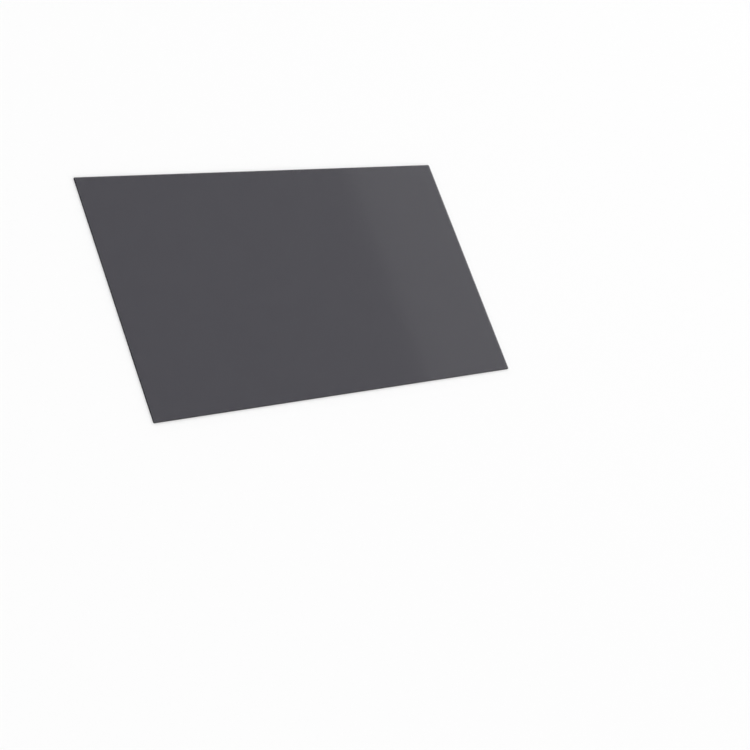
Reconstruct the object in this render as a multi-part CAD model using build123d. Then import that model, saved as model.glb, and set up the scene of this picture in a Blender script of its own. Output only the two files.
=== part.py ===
from build123d import *

import os

# Privacy filter of the 15.6 inch size at 16 to 9: one stiff sheet of dark louvre film, laminated
# flat and then die-cut to a rectangle in one stroke.
# The sheet lies on its back face. The origin is the middle of that face, +X runs along the long
# side, +Y towards the top edge, and +Z out of the front face, towards the reader.

# Driving dimensions, in millimetres
sheet_width = 345.0
sheet_height = 194.0
sheet_thickness = 1.0
corner_radius = 0.8
front_edge_roll = 0.12


def make_filter_sheet():
    """The die-cut outline, as thick as the laminate.

    The cutting rule enters from the front and draws that edge down a little all the way round.
    The back edge, where the rule leaves the sheet, stays sharp.
    """
    outline = RectangleRounded(sheet_width, sheet_height, corner_radius)
    blank = extrude(outline, amount=sheet_thickness)
    front_face = blank.faces().sort_by(Axis.Z)[-1]
    sheet = fillet(front_face.edges(), radius=front_edge_roll)
    sheet.label = "filter_sheet"
    return sheet


os.makedirs("parts", exist_ok=True)
export_step(make_filter_sheet(), "parts/filter_sheet.step")
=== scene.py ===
import math

import bpy
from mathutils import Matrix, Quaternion, Vector


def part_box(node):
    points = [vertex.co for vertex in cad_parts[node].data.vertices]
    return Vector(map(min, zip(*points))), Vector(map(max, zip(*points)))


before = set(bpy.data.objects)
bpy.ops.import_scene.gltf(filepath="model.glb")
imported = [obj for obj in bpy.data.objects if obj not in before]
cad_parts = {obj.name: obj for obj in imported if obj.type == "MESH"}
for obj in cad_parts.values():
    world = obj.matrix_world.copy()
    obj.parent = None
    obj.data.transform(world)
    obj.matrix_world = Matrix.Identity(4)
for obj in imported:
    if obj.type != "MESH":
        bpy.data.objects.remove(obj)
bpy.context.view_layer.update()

# Filter sheet
# A stiff sheet of dark louvre film between two carrier films, laminated flat and die-cut in one stroke. Its
# front is smooth and its back has a matte coat. The louvres end at the cut edge, which is nearly black.
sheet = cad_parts["filter_sheet"]
sheet_low, sheet_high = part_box("filter_sheet")
sheet_thickness = sheet_high.z - sheet_low.z
flat_normal_z = 0.999


def dim_on_entry(finish, opacity):
    """Dim light once, as it enters the sheet. From inside it leaves by any face unchanged."""
    nodes = finish.node_tree.nodes
    links = finish.node_tree.links
    side = nodes.new("ShaderNodeNewGeometry")
    dimming = nodes.new("ShaderNodeMath")
    dimming.operation = "MULTIPLY_ADD"
    dimming.inputs[1].default_value = -opacity
    dimming.inputs[2].default_value = opacity
    links.new(side.outputs["Backfacing"], dimming.inputs[0])
    links.new(dimming.outputs["Value"], nodes["Principled BSDF"].inputs["Alpha"])


def film_finish(name):
    """Both faces of the film: dark, see-through, with faint streaks up the sheet, along the louvres."""
    opacity = 0.855
    refraction = 1.52
    film_colour = (0.0138, 0.0118, 0.0227, 1)
    streak_colour = (0.0168, 0.0148, 0.0267, 1)
    streak_width = 0.006
    streak_length = 0.300
    streak_detail = 3.0
    streak_roughness = 0.02
    front_roughness = 0.055
    back_roughness = 0.285

    finish = bpy.data.materials.new(name)
    finish.use_nodes = True
    nodes = finish.node_tree.nodes
    links = finish.node_tree.links
    film = nodes["Principled BSDF"]
    film.inputs["IOR"].default_value = refraction
    dim_on_entry(finish, opacity)

    place = nodes.new("ShaderNodeTexCoord")
    stretch = nodes.new("ShaderNodeMapping")
    stretch.inputs["Scale"].default_value = (1, streak_width / streak_length, 1)
    links.new(place.outputs["Object"], stretch.inputs["Vector"])
    streaks = nodes.new("ShaderNodeTexNoise")
    streaks.noise_dimensions = "2D"
    streaks.inputs["Scale"].default_value = 1 / streak_width
    streaks.inputs["Detail"].default_value = streak_detail
    links.new(stretch.outputs["Vector"], streaks.inputs["Vector"])

    tint = nodes.new("ShaderNodeValToRGB")
    tint.color_ramp.elements[0].color = film_colour
    tint.color_ramp.elements[1].color = streak_colour
    links.new(streaks.outputs["Fac"], tint.inputs["Fac"])
    links.new(tint.outputs["Color"], film.inputs["Base Color"])

    # The normal's Z runs from -1 on the matte back to 1 on the smooth front.
    facing = nodes.new("ShaderNodeSeparateXYZ")
    links.new(place.outputs["Normal"], facing.inputs["Vector"])
    polish = nodes.new("ShaderNodeMapRange")
    polish.inputs["From Min"].default_value = -1
    polish.inputs["To Min"].default_value = back_roughness
    polish.inputs["To Max"].default_value = front_roughness
    links.new(facing.outputs["Z"], polish.inputs["Value"])
    drift = nodes.new("ShaderNodeMath")
    drift.operation = "MULTIPLY_ADD"
    drift.inputs[1].default_value = streak_roughness
    links.new(streaks.outputs["Fac"], drift.inputs[0])
    links.new(polish.outputs["Result"], drift.inputs[2])
    links.new(drift.outputs["Value"], film.inputs["Roughness"])
    return finish


def cut_finish(name):
    """The die-cut edge: the louvre film is black there, and the two carrier films are a little lighter."""
    opacity = 1.0
    carrier_colour = (0.006, 0.006, 0.007, 1)
    louvre_colour = (0.002, 0.002, 0.002, 1)
    carrier_share = 0.2
    cut_roughness = 0.7
    cut_specular = 0.1

    finish = bpy.data.materials.new(name)
    finish.use_nodes = True
    nodes = finish.node_tree.nodes
    links = finish.node_tree.links
    cut = nodes["Principled BSDF"]
    cut.inputs["Roughness"].default_value = cut_roughness
    cut.inputs["Specular IOR Level"].default_value = cut_specular
    dim_on_entry(finish, opacity)

    place = nodes.new("ShaderNodeTexCoord")
    split = nodes.new("ShaderNodeSeparateXYZ")
    links.new(place.outputs["Object"], split.inputs["Vector"])
    depth = nodes.new("ShaderNodeMapRange")
    depth.inputs["From Max"].default_value = sheet_thickness
    links.new(split.outputs["Z"], depth.inputs["Value"])
    layers = nodes.new("ShaderNodeValToRGB")
    layers.color_ramp.interpolation = "CONSTANT"
    layers.color_ramp.elements[0].color = carrier_colour
    layers.color_ramp.elements[1].position = 1 - carrier_share
    layers.color_ramp.elements[1].color = carrier_colour
    layers.color_ramp.elements.new(carrier_share).color = louvre_colour
    links.new(depth.outputs["Result"], layers.inputs["Fac"])
    links.new(layers.outputs["Color"], cut.inputs["Base Color"])
    return finish


# The film is the two flat faces. The wall and the rolled front edge belong to the cut.
sheet.data.materials.clear()
sheet.data.materials.append(film_finish("film"))
sheet.data.materials.append(cut_finish("cut_edge"))
for face in sheet.data.polygons:
    face.material_index = 0 if abs(face.normal.z) > flat_normal_z else 1

# Studio floor
# A plain pale floor with a dull coat of paint, wide enough that its end stays out of low views. It lies just
# under the sheet, which rests on it.
floor_size = 80.0
floor_gap = 0.0001
floor_colour = (0.905, 0.905, 0.905, 1)
floor_roughness = 0.9
floor_specular = 0.2
bpy.ops.mesh.primitive_plane_add(size=floor_size, location=(0, 0, sheet_low.z - floor_gap))
floor = bpy.context.object
floor.name = "studio_floor"
floor_paint = bpy.data.materials.new("pale_floor")
floor_paint.use_nodes = True
floor_coat = floor_paint.node_tree.nodes["Principled BSDF"]
floor_coat.inputs["Base Color"].default_value = floor_colour
floor_coat.inputs["Roughness"].default_value = floor_roughness
floor_coat.inputs["Specular IOR Level"].default_value = floor_specular
floor.data.materials.append(floor_paint)

# Studio light
# An even white room. A large softbox on the right leans towards the sheet, and the reflection of its upper
# edge draws a faint sheen over the right quarter of the film.
room_colour = (1, 1, 1, 1)
room_strength = 1.07
softbox_height = 1.6
softbox_width = 3.0
softbox_energy = 5.0
softbox_place = (2.978, 1.12, 1.99)
softbox_lean = math.radians(50)
room = bpy.data.worlds.new("studio")
room.use_nodes = True
room_light = room.node_tree.nodes["Background"]
room_light.inputs["Color"].default_value = room_colour
room_light.inputs["Strength"].default_value = room_strength
bpy.context.scene.world = room
softbox = bpy.data.lights.new("softbox", "AREA")
softbox.shape = "RECTANGLE"
softbox.size = softbox_height
softbox.size_y = softbox_width
softbox.energy = softbox_energy
softbox_object = bpy.data.objects.new("softbox", softbox)
softbox_object.location = softbox_place
softbox_object.rotation_euler = (0, softbox_lean, 0)
bpy.context.scene.collection.objects.link(softbox_object)
bpy.context.scene.view_settings.view_transform = "Standard"

# Camera
# A long lens looks down on the sheet from beyond its lower left corner, at the photograph's viewing angle.
# The roll brings the sheet's long side across the picture, as it lies in the photograph.
camera_place = Vector((-0.72871, -0.38205, 0.88681))
camera_target = Vector((0.03301, -0.08529, 0.0))
camera_roll = math.radians(53.787)
camera_lens = 74.24
camera = bpy.data.cameras.new("camera")
camera.lens = camera_lens
camera_object = bpy.data.objects.new("camera", camera)
camera_object.location = camera_place
camera_object.rotation_mode = "QUATERNION"
level_aim = (camera_target - camera_place).to_track_quat("-Z", "Y")
camera_object.rotation_quaternion = level_aim @ Quaternion((0, 0, 1), camera_roll)
bpy.context.scene.collection.objects.link(camera_object)
bpy.context.scene.camera = camera_object
